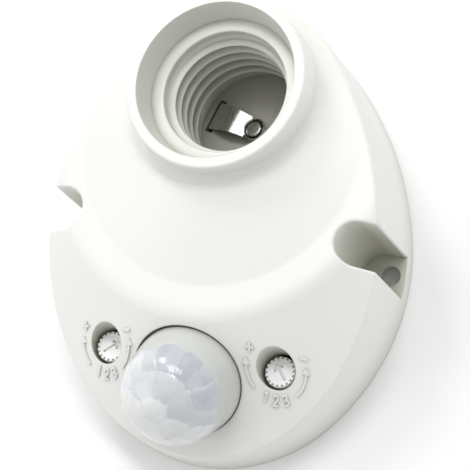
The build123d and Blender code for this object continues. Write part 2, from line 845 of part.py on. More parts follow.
def build_nodes():
    return {
        "front_housing": front_housing(),
        "rear_cover": rear_cover(),
        "rear_cover_screws": rear_cover_screws(),
        "cable_grommet": cable_grommet(),
        "thread_sleeve": thread_sleeve(),
        "contact_carrier": contact_carrier(),
        "carrier_screws": carrier_screws(),
        "centre_contact": centre_contact(),
        "side_contact": side_contact(),
        "live_lead": live_lead(),
        "neutral_lead": neutral_lead(),
        "pir_lens": pir_lens(),
        "lens_retaining_ring": lens_retaining_ring(),
        "pir_sensor": pir_sensor(),
        "sensor_window": sensor_window(),
        "sensor_spacer": sensor_spacer(),
        "light_sensor": light_sensor(),
        "circuit_board": circuit_board(),
        "board_screws": board_screws(),
        "time_trimmer_body": trimmer_body(dial_places["time"]),
        "time_trimmer_rotor": trimmer_rotor(dial_places["time"], time_arrow_angle),
        "lux_trimmer_body": trimmer_body(dial_places["lux"]),
        "lux_trimmer_rotor": trimmer_rotor(dial_places["lux"], lux_arrow_angle),
        "relay": relay(),
        "smoothing_capacitor": smoothing_capacitor(),
        "film_capacitor": film_capacitor(),
        "control_chip": control_chip(),
        "rectifier_diodes": rectifier_diodes(),
        "terminal_block": terminal_block(),
        "terminal_screws": terminal_screws(),
    }


os.makedirs("parts", exist_ok=True)
for name, shape in build_nodes().items():
    if isinstance(shape, list):
        shape = Compound(children=shape)
    export_step(shape, f"parts/{name}.step")
    print(name, round(shape.volume, 1))
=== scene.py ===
# Motion sensor lamp holder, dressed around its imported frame. Blender works in metres, and the sizes in
# the dictionaries are in mm, except where a note says otherwise.
import math

import bmesh
import bpy
from mathutils import Matrix, Vector, noise


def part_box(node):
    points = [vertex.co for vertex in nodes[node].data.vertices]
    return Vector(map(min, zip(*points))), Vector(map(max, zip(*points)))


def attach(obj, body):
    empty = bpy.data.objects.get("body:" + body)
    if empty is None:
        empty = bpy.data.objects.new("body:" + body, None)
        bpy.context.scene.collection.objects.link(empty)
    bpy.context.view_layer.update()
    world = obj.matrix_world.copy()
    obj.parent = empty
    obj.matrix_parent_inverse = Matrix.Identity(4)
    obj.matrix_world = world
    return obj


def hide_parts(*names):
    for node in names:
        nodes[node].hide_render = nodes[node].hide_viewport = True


mm = 0.001

print("loading the frame")
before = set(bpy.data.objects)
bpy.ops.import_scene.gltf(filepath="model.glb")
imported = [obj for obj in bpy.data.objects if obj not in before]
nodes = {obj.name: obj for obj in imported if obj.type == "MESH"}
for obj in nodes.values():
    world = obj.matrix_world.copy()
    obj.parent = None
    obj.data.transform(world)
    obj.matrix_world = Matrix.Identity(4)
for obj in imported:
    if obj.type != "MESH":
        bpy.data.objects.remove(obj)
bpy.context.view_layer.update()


# The camera's place and lens were solved from the circles and the thread of the socket
cameraSet = {
    "place": (144.1, -96.0, 369.07),
    "turn": (18.462, 18.322, 12.897),  # degrees about X, Y and Z
    "lens": 138.88,
    "sensor": 36.0,
    "near": 0.01, "far": 20.0,  # metres
}

# Softboxes: direction from the aim, distance, size, and power in watts
softboxes = {
    "keyBox": ((0.11, 0.43, 0.895), 850.0, (350.0, 175.0), 1.9),
    "sideBox": ((-0.394, 0.633, 0.667), 850.0, (175.0, 235.0), 1.45),
    "topBox": ((-0.25, 0.25, 0.935), 950.0, (500.0, 500.0), 0.7),
    "fillBox": ((-0.76, -0.34, 0.56), 900.0, (600.0, 600.0), 1.6),
    "rightBox": ((0.81, 0.20, 0.55), 900.0, (560.0, 560.0), 0.95),
}

lightSet = {
    "aim": (0.0, -20.0, 20.0),
    "skyColour": (0.975, 0.985, 1.0),
    "skyStrength": 0.52,
    "floorColour": (0.95, 0.95, 0.945),
    "floorRough": 0.85,
    "floorSize": 6000.0,
    "floorDrop": 0.05,
}


def placeCamera():
    data = bpy.data.cameras.new("camera")
    data.lens = cameraSet["lens"]
    data.sensor_width = cameraSet["sensor"]
    data.clip_start = cameraSet["near"]
    data.clip_end = cameraSet["far"]
    camera = bpy.data.objects.new("camera", data)
    camera.location = Vector(cameraSet["place"]) * mm
    camera.rotation_euler = [math.radians(angle) for angle in cameraSet["turn"]]
    bpy.context.scene.collection.objects.link(camera)
    bpy.context.scene.camera = camera


def addSoftbox(name, way, distance, size, power):
    data = bpy.data.lights.new(name, "AREA")
    data.shape = "RECTANGLE"
    data.size, data.size_y = size[0] * mm, size[1] * mm
    data.energy = power
    box = bpy.data.objects.new(name, data)
    box.location = (Vector(lightSet["aim"]) + Vector(way).normalized() * distance) * mm
    box.rotation_euler = (-Vector(way)).to_track_quat("-Z", "Y").to_euler()
    bpy.context.scene.collection.objects.link(box)


def lightScene():
    for name, (way, distance, size, power) in softboxes.items():
        addSoftbox(name, way, distance, size, power)
    world = bpy.data.worlds.new("studio")
    world.use_nodes = True
    sky = world.node_tree.nodes["Background"]
    sky.inputs["Color"].default_value = (*lightSet["skyColour"], 1.0)
    sky.inputs["Strength"].default_value = lightSet["skyStrength"]
    bpy.context.scene.world = world
    bpy.context.scene.view_settings.view_transform = "Standard"


def layFloor():
    half = lightSet["floorSize"] * mm / 2
    drop = -lightSet["floorDrop"] * mm
    corners = [(-half, -half, drop), (half, -half, drop), (half, half, drop), (-half, half, drop)]
    mesh = bpy.data.meshes.new("floor")
    mesh.from_pydata(corners, [], [(0, 1, 2, 3)])
    floor = bpy.data.objects.new("floor", mesh)
    bpy.context.scene.collection.objects.link(floor)
    paint = bpy.data.materials.new("floorPaper")
    paint.use_nodes = True
    shader = paint.node_tree.nodes["Principled BSDF"]
    shader.inputs["Base Color"].default_value = (*lightSet["floorColour"], 1.0)
    shader.inputs["Roughness"].default_value = lightSet["floorRough"]
    mesh.materials.append(paint)


# Moulded and coated finishes. Each mixes two colours in patches, and "patch" and "grain" are noise scales
# per metre. "depth" is how deep the grain is, "round" softens edges, and "glow" is the light that spreads
# inside. The hollows are painted shade: each darkens the colour toward the colour deep in a recess, with
# its reach, how open a spot is where it ends, and True where only the piece's own shape counts.
finishes = {
    "housingPlastic": {
        "low": (0.878, 0.873, 0.836), "high": (0.894, 0.889, 0.854), "patch": 45.0,
        "rough": (0.36, 0.46), "grain": 2600.0, "depth": 0.010, "round": 0.35, "glow": 0.10,
        # Painted shade darkens the socket, the recesses and the creases
        "paintedShades": (
            ((0.500, 0.505, 0.405), 14.0, 0.84), ((0.420, 0.425, 0.350), 1.1, 0.92),
            ((0.400, 0.405, 0.320), 45.0, 0.80, True),
        ),
    },
    "coverPlastic": {
        "low": (0.850, 0.846, 0.805), "high": (0.870, 0.866, 0.825), "patch": 45.0,
        "rough": (0.40, 0.52), "grain": 2200.0, "depth": 0.012, "round": 0.30, "glow": 0.05,
        "paintedShades": (((0.420, 0.425, 0.350), 1.1, 0.92),),
    },
    # A little darker than the housing, with darker creases: painted shade on the raised signs
    "signPlastic": {
        "low": (0.856, 0.851, 0.814), "high": (0.876, 0.871, 0.834), "patch": 45.0,
        "rough": (0.30, 0.40), "grain": 2600.0, "depth": 0.006, "round": 0.08, "glow": 0.05,
        "paintedShades": (((0.300, 0.300, 0.250), 0.8, 1.0),),
    },
    "sleevePlastic": {
        # Darker and more olive than the housing, and darker still in the thread's valleys: painted shade
        # inside the socket
        "low": (0.830, 0.828, 0.780), "high": (0.850, 0.848, 0.805), "patch": 90.0,
        "rough": (0.12, 0.20), "grain": 1800.0, "depth": 0.003, "round": 0.10, "glow": 0.04,
        "paintedShades": (((0.150, 0.150, 0.105), 40.0, 0.70, True), ((0.300, 0.300, 0.240), 2.4, 0.86)),
        # Painted highlight along the thread crests
        "crestHighlight": ((0.930, 0.925, 0.880), "paintedCrestHighlight"),  # paler where the mesh marks a crest
    },
    # Darker and more olive than white plastic, with darker recesses: painted shade on the floor deep in
    # the socket
    "carrierPlastic": {
        "low": (0.600, 0.595, 0.530), "high": (0.640, 0.635, 0.570), "patch": 120.0,
        "rough": (0.38, 0.50), "grain": 1800.0, "depth": 0.008, "round": 0.15, "glow": 0.0,
        "paintedShades": (((0.300, 0.300, 0.240), 9.0, 0.95),),
    },
    "rotorNylon": {
        "low": (0.955, 0.955, 0.948), "high": (0.975, 0.975, 0.968), "patch": 400.0,
        "rough": (0.25, 0.35), "grain": 3000.0, "depth": 0.006, "round": 0.05, "glow": 0.05,
        # Painted shade darkens the arrow groove and the notches
        "paintedShades": (((0.095, 0.093, 0.080), 0.55, 0.76),),
    },
    "trimmerPlastic": {
        "low": (0.400, 0.398, 0.370), "high": (0.460, 0.458, 0.430), "patch": 400.0,
        "rough": (0.35, 0.50), "grain": 2500.0, "depth": 0.008, "round": 0.10, "glow": 0.0,
    },
    "blackMoulding": {
        "low": (0.020, 0.020, 0.021), "high": (0.035, 0.035, 0.036), "patch": 300.0,
        "rough": (0.40, 0.55), "grain": 2500.0, "depth": 0.010, "round": 0.10, "glow": 0.0,
    },
    "grommetRubber": {
        "low": (0.020, 0.020, 0.020), "high": (0.034, 0.033, 0.032), "patch": 260.0,
        "rough": (0.62, 0.78), "grain": 1500.0, "depth": 0.015, "round": 0.15, "glow": 0.0,
    },
    "boardLaminate": {
        "low": (0.240, 0.120, 0.035), "high": (0.330, 0.180, 0.060), "patch": 500.0,
        "rough": (0.45, 0.60), "grain": 900.0, "depth": 0.015, "round": 0.0, "glow": 0.0,
    },
    "relayCase": {
        "low": (0.010, 0.045, 0.200), "high": (0.015, 0.060, 0.250), "patch": 200.0,
        "rough": (0.25, 0.32), "grain": 1500.0, "depth": 0.004, "round": 0.20, "glow": 0.0,
    },
    "filmCoat": {
        "low": (0.260, 0.045, 0.020), "high": (0.330, 0.060, 0.030), "patch": 200.0,
        "rough": (0.20, 0.30), "grain": 700.0, "depth": 0.020, "round": 0.20, "glow": 0.0,
    },
    "capacitorSleeve": {
        "low": (0.010, 0.012, 0.022), "high": (0.016, 0.018, 0.032), "patch": 150.0,
        "rough": (0.22, 0.30), "grain": 600.0, "depth": 0.010, "round": 0.15, "glow": 0.0,
    },
    "terminalPlastic": {
        "low": (0.015, 0.150, 0.050), "high": (0.020, 0.190, 0.070), "patch": 200.0,
        "rough": (0.30, 0.40), "grain": 1500.0, "depth": 0.006, "round": 0.15, "glow": 0.0,
    },
    "cellFace": {
        "low": (0.300, 0.070, 0.020), "high": (0.620, 0.340, 0.130), "patch": 2200.0,
        "rough": (0.15, 0.25), "grain": 1500.0, "depth": 0.004, "round": 0.10, "glow": 0.0,
    },
    "filterWindow": {
        "low": (0.010, 0.009, 0.012), "high": (0.016, 0.014, 0.018), "patch": 300.0,
        "rough": (0.05, 0.10), "grain": 1500.0, "depth": 0.002, "round": 0.0, "glow": 0.0,
    },
}

# Bare metals. "lines" are noise scales per metre along X, Y and Z, and the low one is the way they run.
metals = {
    "springSteel": {
        "low": (0.68, 0.675, 0.64), "high": (0.82, 0.815, 0.79), "rough": (0.17, 0.28),
        "lines": (700.0, 3000.0, 3000.0), "depth": 0.001, "round": 0.05,
        # Painted shade darkens the groove round the button and the creases
        "paintedShades": (((0.030, 0.030, 0.026), 1.1, 0.97),),
    },
    "zincScrew": {
        "low": (0.52, 0.525, 0.52), "high": (0.66, 0.66, 0.64), "rough": (0.26, 0.42),
        "lines": (1800.0, 1800.0, 500.0), "depth": 0.006, "round": 0.10,
    },
    "drawnCan": {
        "low": (0.58, 0.58, 0.56), "high": (0.68, 0.68, 0.66), "rough": (0.20, 0.32),
        "lines": (900.0, 900.0, 3000.0), "depth": 0.004, "round": 0.15,
    },
    "tinnedCopper": {
        "low": (0.62, 0.36, 0.24), "high": (0.72, 0.50, 0.38), "rough": (0.22, 0.36),
        "lines": (900.0, 300.0, 900.0), "depth": 0.004, "round": 0.0,
    },
}

# "edge" is the tone along the borders of the facets, and "back" that of the light from behind. "cloud"
# and "ripple" are per metre.
lensLook = {
    # "deep" and "clear" are the darkest and lightest ends of the facets' painted shading
    "deep": (0.520, 0.550, 0.602), "clear": (0.955, 0.958, 0.950), "edge": (0.790, 0.805, 0.810),
    "collar": (0.695, 0.707, 0.685), "back": (0.930, 0.940, 0.940), "backShare": 0.07,
    "cloud": 190.0, "drift": 0.16, "rough": (0.10, 0.17), "ripple": 5200.0, "depth": 0.003,
    "glow": 0.35, "glowTint": (1.0, 1.0, 1.0), "glowReach": 1.0,
    # Painted shade in the gap round the collar and between the facets
    "paintedShades": (((0.300, 0.300, 0.270), 5.0, 0.90), ((0.620, 0.640, 0.660), 0.6, 0.97)),
}

shaderSet = {
    "noiseLow": 0.3, "noiseHigh": 0.7,  # nearly all of a noise lies between these two
    "patchDetail": 3.0, "grainDetail": 2.0, "lineDetail": 4.0,
    "hollowSamples": 8, "roundSamples": 6,
    "plasticIndex": 1.5, "glowTint": (1.0, 0.95, 0.8), "glowReach": 0.6,
}

facetMarks = ("paintedShading", "edge", "ring", "cover")  # what each point of the lens tells its finish

made = {}  # each finish by its name


def newFinish(name):
    made[name] = bpy.data.materials.new(name)
    made[name].use_nodes = True
    tree = made[name].node_tree
    return tree, tree.nodes["Principled BSDF"]


def addNode(tree, kind, links=None, **settings):
    node = tree.nodes.new(kind)
    for key, value in settings.items():
        setattr(node, key, value)
    for socket, source in (links or {}).items():
        if hasattr(source, "links"):
            tree.links.new(source, node.inputs[socket])
        else:
            node.inputs[socket].default_value = source
    return node


def addNoise(tree, vector, scale, detail):
    links = {"Vector": vector, "Scale": scale, "Detail": detail}
    return addNode(tree, "ShaderNodeTexNoise", links).outputs["Fac"]


def addRange(tree, value, low, high):
    links = {"Value": value, "From Min": shaderSet["noiseLow"], "From Max": shaderSet["noiseHigh"]}
    links.update({"To Min": low, "To Max": high})
    return addNode(tree, "ShaderNodeMapRange", links).outputs["Result"]


def addBlend(tree, factor, low, high):
    ramp = addNode(tree, "ShaderNodeValToRGB", {"Fac": factor})
    first, last = ramp.color_ramp.elements
    first.color = (*low, 1.0)
    first.position = shaderSet["noiseLow"]
    last.color = (*high, 1.0)
    last.position = shaderSet["noiseHigh"]
    return ramp.outputs["Color"]


def addMix(tree, factor, low, high):
    node = addNode(tree, "ShaderNodeMix", {0: factor}, data_type="RGBA")
    for socket, source in ((6, low), (7, high)):  # the sockets A and B of a colour mix
        if hasattr(source, "links"):
            tree.links.new(source, node.inputs[socket])
        else:
            node.inputs[socket].default_value = (*source, 1.0)
    return node.outputs[2]


# Painted shade: each hollow darkens the colour where a spot is closed in by recesses and creases
def addPaintedShades(tree, look, colour):
    for paintedShading, reach, plain, *own in look.get("paintedShades", ()):
        settings = {"samples": shaderSet["hollowSamples"], "only_local": bool(own)}
        openness = addNode(tree, "ShaderNodeAmbientOcclusion", {"Distance": reach * mm}, **settings)
        links = {"Value": openness.outputs["AO"], "From Min": 0.0, "From Max": plain}
        share = addNode(tree, "ShaderNodeMapRange", links).outputs["Result"]
        colour = addMix(tree, share, paintedShading, colour)
    return colour


def addRelief(tree, shader, height, depth, radius):
    links = {"Height": height, "Distance": depth * mm, "Strength": 1.0}
    if radius:
        settings = {"samples": shaderSet["roundSamples"]}
        rounded = addNode(tree, "ShaderNodeBevel", {"Radius": radius * mm}, **settings)
        links["Normal"] = rounded.outputs["Normal"]
    relief = addNode(tree, "ShaderNodeBump", links)
    tree.links.new(relief.outputs["Normal"], shader.inputs["Normal"])


def setPlastic(shader, share, tint, reach):
    shader.inputs["IOR"].default_value = shaderSet["plasticIndex"]
    shader.inputs["Subsurface Weight"].default_value = share
    shader.inputs["Subsurface Radius"].default_value = tint
    shader.inputs["Subsurface Scale"].default_value = reach * mm


def makeMoulded(name, look):
    tree, shader = newFinish(name)
    place = addNode(tree, "ShaderNodeTexCoord").outputs["Object"]
    patches = addNoise(tree, place, look["patch"], shaderSet["patchDetail"])
    grain = addNoise(tree, place, look["grain"], shaderSet["grainDetail"])
    colour = addPaintedShades(tree, look, addBlend(tree, patches, look["low"], look["high"]))
    if "crestHighlight" in look:
        paintedShading, mark = look["crestHighlight"]
        share = addNode(tree, "ShaderNodeAttribute", attribute_name=mark).outputs["Fac"]
        colour = addMix(tree, share, colour, paintedShading)
    tree.links.new(colour, shader.inputs["Base Color"])
    tree.links.new(addRange(tree, grain, *look["rough"]), shader.inputs["Roughness"])
    setPlastic(shader, look["glow"], shaderSet["glowTint"], shaderSet["glowReach"])
    addRelief(tree, shader, grain, look["depth"], look["round"])


def makeMetal(name, look):
    tree, shader = newFinish(name)
    place = addNode(tree, "ShaderNodeTexCoord").outputs["Object"]
    stretch = addNode(tree, "ShaderNodeMapping", {"Vector": place, "Scale": look["lines"]})
    lines = addNoise(tree, stretch.outputs["Vector"], 1.0, shaderSet["lineDetail"])
    colour = addPaintedShades(tree, look, addBlend(tree, lines, look["low"], look["high"]))
    tree.links.new(colour, shader.inputs["Base Color"])
    tree.links.new(addRange(tree, lines, *look["rough"]), shader.inputs["Roughness"])
    shader.inputs["Metallic"].default_value = 1.0
    addRelief(tree, shader, lines, look["depth"], look["round"])


def facetName(key):
    return "facet" + key.capitalize()


# Milky lens plastic: each facet carries painted shading for how light falls on the dome, darker toward +Y
# and +X and lighter toward -Y and -X, with a soft edge and faint rings, and some light comes through from
# behind
def makeLensPlastic():
    tree, shader = newFinish("lensPlastic")
    place = addNode(tree, "ShaderNodeTexCoord").outputs["Object"]
    paintedShading, edge, ring, cover = [
        addNode(tree, "ShaderNodeAttribute", attribute_name=facetName(key)).outputs["Fac"]
        for key in facetMarks
    ]
    cloud = addNoise(tree, place, lensLook["cloud"], shaderSet["patchDetail"])
    drift = addRange(tree, cloud, -lensLook["drift"], lensLook["drift"])
    mixed = addNode(tree, "ShaderNodeMath", {0: paintedShading, 1: drift}, operation="ADD").outputs["Value"]
    facet = addMix(tree, mixed, lensLook["deep"], lensLook["clear"])
    edged = addMix(tree, edge, facet, lensLook["edge"])
    body = addPaintedShades(tree, lensLook, addMix(tree, cover, lensLook["collar"], edged))
    tree.links.new(body, shader.inputs["Base Color"])
    tree.links.new(addRange(tree, cloud, *lensLook["rough"]), shader.inputs["Roughness"])
    setPlastic(shader, lensLook["glow"], lensLook["glowTint"], lensLook["glowReach"])
    turns = addNode(tree, "ShaderNodeMath", {0: ring, 1: lensLook["ripple"]}, operation="MULTIPLY")
    wave = addNode(tree, "ShaderNodeMath", {0: turns.outputs["Value"]}, operation="SINE")
    addRelief(tree, shader, wave.outputs["Value"], lensLook["depth"], 0.0)
    back = addNode(tree, "ShaderNodeBsdfTranslucent", {"Color": (*lensLook["back"], 1.0)})
    both = addNode(tree, "ShaderNodeMixShader", {0: lensLook["backShare"]})
    tree.links.new(shader.outputs["BSDF"], both.inputs[1])
    tree.links.new(back.outputs["BSDF"], both.inputs[2])
    tree.links.new(both.outputs["Shader"], tree.nodes["Material Output"].inputs["Surface"])


def makeFinishes():
    for name, look in finishes.items():
        makeMoulded(name, look)
    for name, look in metals.items():
        makeMetal(name, look)
    makeLensPlastic()


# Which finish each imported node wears
nodeFinish = {
    "front_housing": "housingPlastic",
    "rear_cover": "coverPlastic",
    "rear_cover_screws": "zincScrew",
    "cable_grommet": "grommetRubber",
    "thread_sleeve": "sleevePlastic",
    "contact_carrier": "carrierPlastic",
    "carrier_screws": "zincScrew",
    "centre_contact": "springSteel",
    "side_contact": "springSteel",
    "live_lead": "tinnedCopper",
    "neutral_lead": "tinnedCopper",
    "pir_lens": "lensPlastic",
    "lens_retaining_ring": "blackMoulding",
    "pir_sensor": "drawnCan",
    "sensor_window": "filterWindow",
    "sensor_spacer": "blackMoulding",
    "light_sensor": "cellFace",
    "circuit_board": "boardLaminate",
    "board_screws": "zincScrew",
    "time_trimmer_body": "trimmerPlastic",
    "time_trimmer_rotor": "rotorNylon",
    "lux_trimmer_body": "trimmerPlastic",
    "lux_trimmer_rotor": "rotorNylon",
    "relay": "relayCase",
    "smoothing_capacitor": "capacitorSleeve",
    "film_capacitor": "filmCoat",
    "control_chip": "blackMoulding",
    "rectifier_diodes": "blackMoulding",
    "terminal_block": "terminalPlastic",
    "terminal_screws": "zincScrew",
}


def dressNodes():
    for name, finish in nodeFinish.items():
        mesh = nodes[name].data
        mesh.materials.clear()
        mesh.materials.append(made[finish])


def newPiece(name, verts, faces, finish, body):
    mesh = bpy.data.meshes.new(name)
    mesh.from_pydata(verts, [], faces)
    mesh.materials.append(made[finish])
    mesh.update()
    piece = bpy.data.objects.new(name, mesh)
    bpy.context.scene.collection.objects.link(piece)
    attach(piece, body)
    return piece


def markPoints(piece, name, values):
    attribute = piece.data.attributes.new(name, "FLOAT", "POINT")
    attribute.data.foreach_set("value", values)


def smooth(piece, sharpAngle):
    mesh = piece.data
    mesh.shade_smooth()
    mesh.set_sharp_from_angle(angle=math.radians(sharpAngle))


def flipOutwards(piece):
    work = bmesh.new()
    work.from_mesh(piece.data)
    bmesh.ops.recalc_face_normals(work, faces=work.faces)
    work.to_mesh(piece.data)
    work.free()


def applyModifiers(piece):
    graph = bpy.context.evaluated_depsgraph_get()
    mesh = bpy.data.meshes.new_from_object(piece.evaluated_get(graph))
    piece.modifiers.clear()
    piece.data = mesh


# Faces of a turned grid, which closes on itself all round and, if asked, along its profile as well
def gridFaces(rounds, alongs, closed):
    faces = []
    for i in range(rounds):
        here = i * alongs
        after = ((i + 1) % rounds) * alongs
        for j in range(alongs if closed else alongs - 1):
            higher = (j + 1) % alongs
            faces.append((here + j, after + j, after + higher, here + higher))
    return faces


# Fans over both open ends of a turned grid, onto the two points that come after its own
def endFaces(rounds, alongs):
    top = rounds * alongs
    faces = []
    for i in range(rounds):
        here = i * alongs
        after = ((i + 1) % rounds) * alongs
        faces.append((here, top, after))
        faces.append((here + alongs - 1, after + alongs - 1, top + 1))
    return faces


# From 0 at the low value to 1 at the high one, with soft ends
def fade(value, low, high):
    share = min(1.0, max(0.0, (value - low) / (high - low)))
    return share * share * (3 - 2 * share)


# Threaded sleeve: the true right-hand thread, where the frame has closed rings
sleeve = {
    "crestRadius": 12.27, "rootRadius": 13.3, "entryRadius": 13.7, "footRadius": 13.4,
    "pitch": 3.629, "crestHeight": 26.35,  # height of a crest at the side away from +X
    "threadTop": (30.6, 32.0), "threadFoot": (11.4, 12.9),  # where the thread fades out
    "crispness": 3.8, "crestHighlightShare": 0.75,
    "flangeWide": 1.15, "flangeThick": 1.2, "snug": 0.14,  # snug closes the gap to the shroud
    "edge": 0.45, "edgeStep": 15, "lip": 0.06, "lipShare": 0.3,
    "rounds": 240, "rise": 0.18, "sharpAngle": 50.0,
}


# Radius inside the sleeve, and the share of painted highlight, which grows toward the top of a crest
def threadForm(angle, height):
    turns = (height - sleeve["crestHeight"]) / sleeve["pitch"] - (angle - math.pi) / (2 * math.pi)
    wave = (0.5 + 0.5 * math.cos(2 * math.pi * turns)) ** sleeve["crispness"]
    upper = fade(height, *sleeve["threadTop"])
    lower = 1 - fade(height, *sleeve["threadFoot"])
    wave *= (1 - upper) * (1 - lower)
    base = sleeve["rootRadius"] + (sleeve["entryRadius"] - sleeve["rootRadius"]) * upper
    base += (sleeve["footRadius"] - sleeve["rootRadius"]) * lower
    radius = base - (sleeve["rootRadius"] - sleeve["crestRadius"]) * wave
    return radius, sleeve["crestHighlightShare"] * wave ** 2


def buildSleeve():
    low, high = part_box("thread_sleeve")
    low, high = low / mm, high / mm
    axisY = (low.y + high.y) / 2
    flange = (high.x - low.x) / 2 + sleeve["snug"]
    outer = flange - sleeve["flangeWide"]
    step = high.z - sleeve["flangeThick"]
    edge, lip = sleeve["edge"], sleeve["lip"]
    corner = lip * sleeve["lipShare"]
    count = int((high.z - edge - low.z) / sleeve["rise"]) + 1
    heights = [low.z + (high.z - edge - low.z) * k / count for k in range(count + 1)]
    plain = []
    for degrees in range(sleeve["edgeStep"], 91, sleeve["edgeStep"]):
        turn = math.radians(degrees)
        radius = sleeve["entryRadius"] + edge * (1 - math.cos(turn))
        plain.append((radius, high.z - edge + edge * math.sin(turn)))
    plain += [
        (flange - lip, high.z), (flange - corner, high.z - corner), (flange, high.z - lip),
        (flange, step), (outer, step), (outer, low.z),
    ]
    verts, crestHighlights = [], []
    for i in range(sleeve["rounds"]):
        angle = 2 * math.pi * i / sleeve["rounds"]
        ring = [(*threadForm(angle, height), height) for height in heights]
        ring += [(radius, 0.0, height) for radius, height in plain]
        for radius, crestHighlight, height in ring:
            x = radius * math.cos(angle) * mm
            y = (axisY + radius * math.sin(angle)) * mm
            verts.append((x, y, height * mm))
            crestHighlights.append(crestHighlight)
    faces = gridFaces(sleeve["rounds"], len(ring), True)
    piece = newPiece("threadedSleeve", verts, faces, "sleevePlastic", "holder")
    markPoints(piece, "paintedCrestHighlight", crestHighlights)
    smooth(piece, sleeve["sharpAngle"])
    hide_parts("thread_sleeve")


# Sensor lens: a milky dome of shallow domed facets on a plain collar
lens = {
    "centreY": -34.8, "centreZ": 19.442, "tilt": 35.754,  # middle of its hole on the skirt
    "settle": (0.08, -0.17),  # how far it has sunk to one side of its hole
    "radius": 11.5, "lift": 4.6, "collar": 12.1, "wall": 0.8, "flange": 14.7, "seat": -2.3, "foot": -3.2,
    "edgeWidth": 0.014, "edgeShare": 0.75, "coverWidth": 0.02, "plainPaintedShading": 0.5,
    "rounds": 340, "steps": 140, "slopeSteps": 4, "innerStep": 15, "sharpAngle": 40.0,
    "warps": ((5.0, 0.045), (15.0, 0.028), (34.0, 0.010)),  # scale and size of the facets' uneven edges
    "warpSeed": 7,  # without it each run would draw other edges
    # polar angle, turn and reach of each facet in degrees, its bulge and step, its painted shading from
    # 0, dark, to 1, light
    "facets": (
        (2.8, 143.0, 19.0, 0.22, 0.06, 0.80),
        (28.5, 124.0, 20.0, 0.19, 0.02, 0.60), (26.4, 70.0, 20.5, 0.20, 0.07, 0.42),
        (28.9, 7.0, 20.5, 0.19, 0.09, 0.38), (25.5, -44.0, 20.0, 0.18, 0.03, 0.78),
        (27.0, -112.0, 20.5, 0.19, 0.05, 0.88), (26.5, -170.0, 20.5, 0.18, 0.01, 0.95),
        (54.0, 109.5, 18.5, 0.19, 0.06, 0.42), (57.5, 85.0, 20.5, 0.22, 0.03, 0.22),
        (58.0, 57.8, 19.5, 0.22, 0.07, 0.10), (57.0, 37.4, 18.5, 0.19, 0.02, 0.20),
        (55.5, 13.0, 20.5, 0.21, 0.05, 0.30), (53.0, -13.4, 19.0, 0.20, 0.01, 0.46),
        (54.5, -38.0, 19.5, 0.20, 0.06, 0.80), (56.0, -63.0, 19.5, 0.19, 0.02, 0.95),
        (55.0, -88.0, 19.5, 0.20, 0.07, 0.98), (57.0, -113.0, 19.5, 0.19, 0.03, 1.00),
        (55.5, -138.0, 19.5, 0.20, 0.06, 1.00), (56.5, -163.0, 19.5, 0.19, 0.02, 0.92),
        (55.0, 172.0, 19.5, 0.20, 0.05, 0.95), (57.0, 150.0, 18.5, 0.19, 0.01, 0.80),
        (55.0, 130.0, 18.5, 0.20, 0.04, 0.70),
    ),
}


def lensWay(polar, turn):
    return Vector((math.sin(polar) * math.cos(turn), math.sin(polar) * math.sin(turn), math.cos(polar)))


def lensFacets():
    return [
        (lensWay(math.radians(polar), math.radians(turn)), math.radians(reach), *rest)
        for polar, turn, reach, *rest in lens["facets"]
    ]


# Rise of the facets over the plain dome, with painted shading, edge, distance from the facet's middle,
# and cover
def facetAt(way, facets):
    warped = way.copy()
    for scale, size in lens["warps"]:
        warped += noise.noise_vector(way * scale) * size
    warped.normalize()
    best = (0.0, 0.0, lens["plainPaintedShading"], 0.0)
    second = 0.0
    for centre, reach, bulge, step, paintedShading in facets:
        apart = warped.angle(centre)
        rise = bulge * (1 - (apart / reach) ** 2)
        if rise > best[0]:
            second = best[0]
            best = (rise, step, paintedShading, apart * lens["radius"])
        elif rise > second:
            second = rise
    rise, step, paintedShading, away = best
    edge = lens["edgeShare"] * math.exp(-((rise - second) / lens["edgeWidth"]) ** 2) if rise > 0 else 0.0
    cover = fade(rise, 0, lens["coverWidth"])
    return {"rise": rise + step * cover, "paintedShading": paintedShading, "edge": edge, "ring": away * mm, "cover": cover}


# Radius and height of the lens from the foot of its dome, down round the flange and up inside
def lensProfile():
    radius, lift, collar = lens["radius"], lens["lift"], lens["collar"]
    bore = collar - lens["wall"]
    inner = radius - lens["wall"]
    slopes = [k / lens["slopeSteps"] for k in range(1, lens["slopeSteps"])]
    profile = [(radius + (collar - radius) * s, lift * (1 - s)) for s in slopes]
    profile += [(collar, 0.0), (collar, lens["seat"]), (lens["flange"], lens["seat"])]
    profile += [(lens["flange"], lens["foot"]), (bore, lens["foot"]), (bore, 0.0), (inner, lift)]
    polars = [math.radians(angle) for angle in range(90 - lens["innerStep"], 0, -lens["innerStep"])]
    profile += [(inner * math.sin(polar), lift + inner * math.cos(polar)) for polar in polars]
    return profile


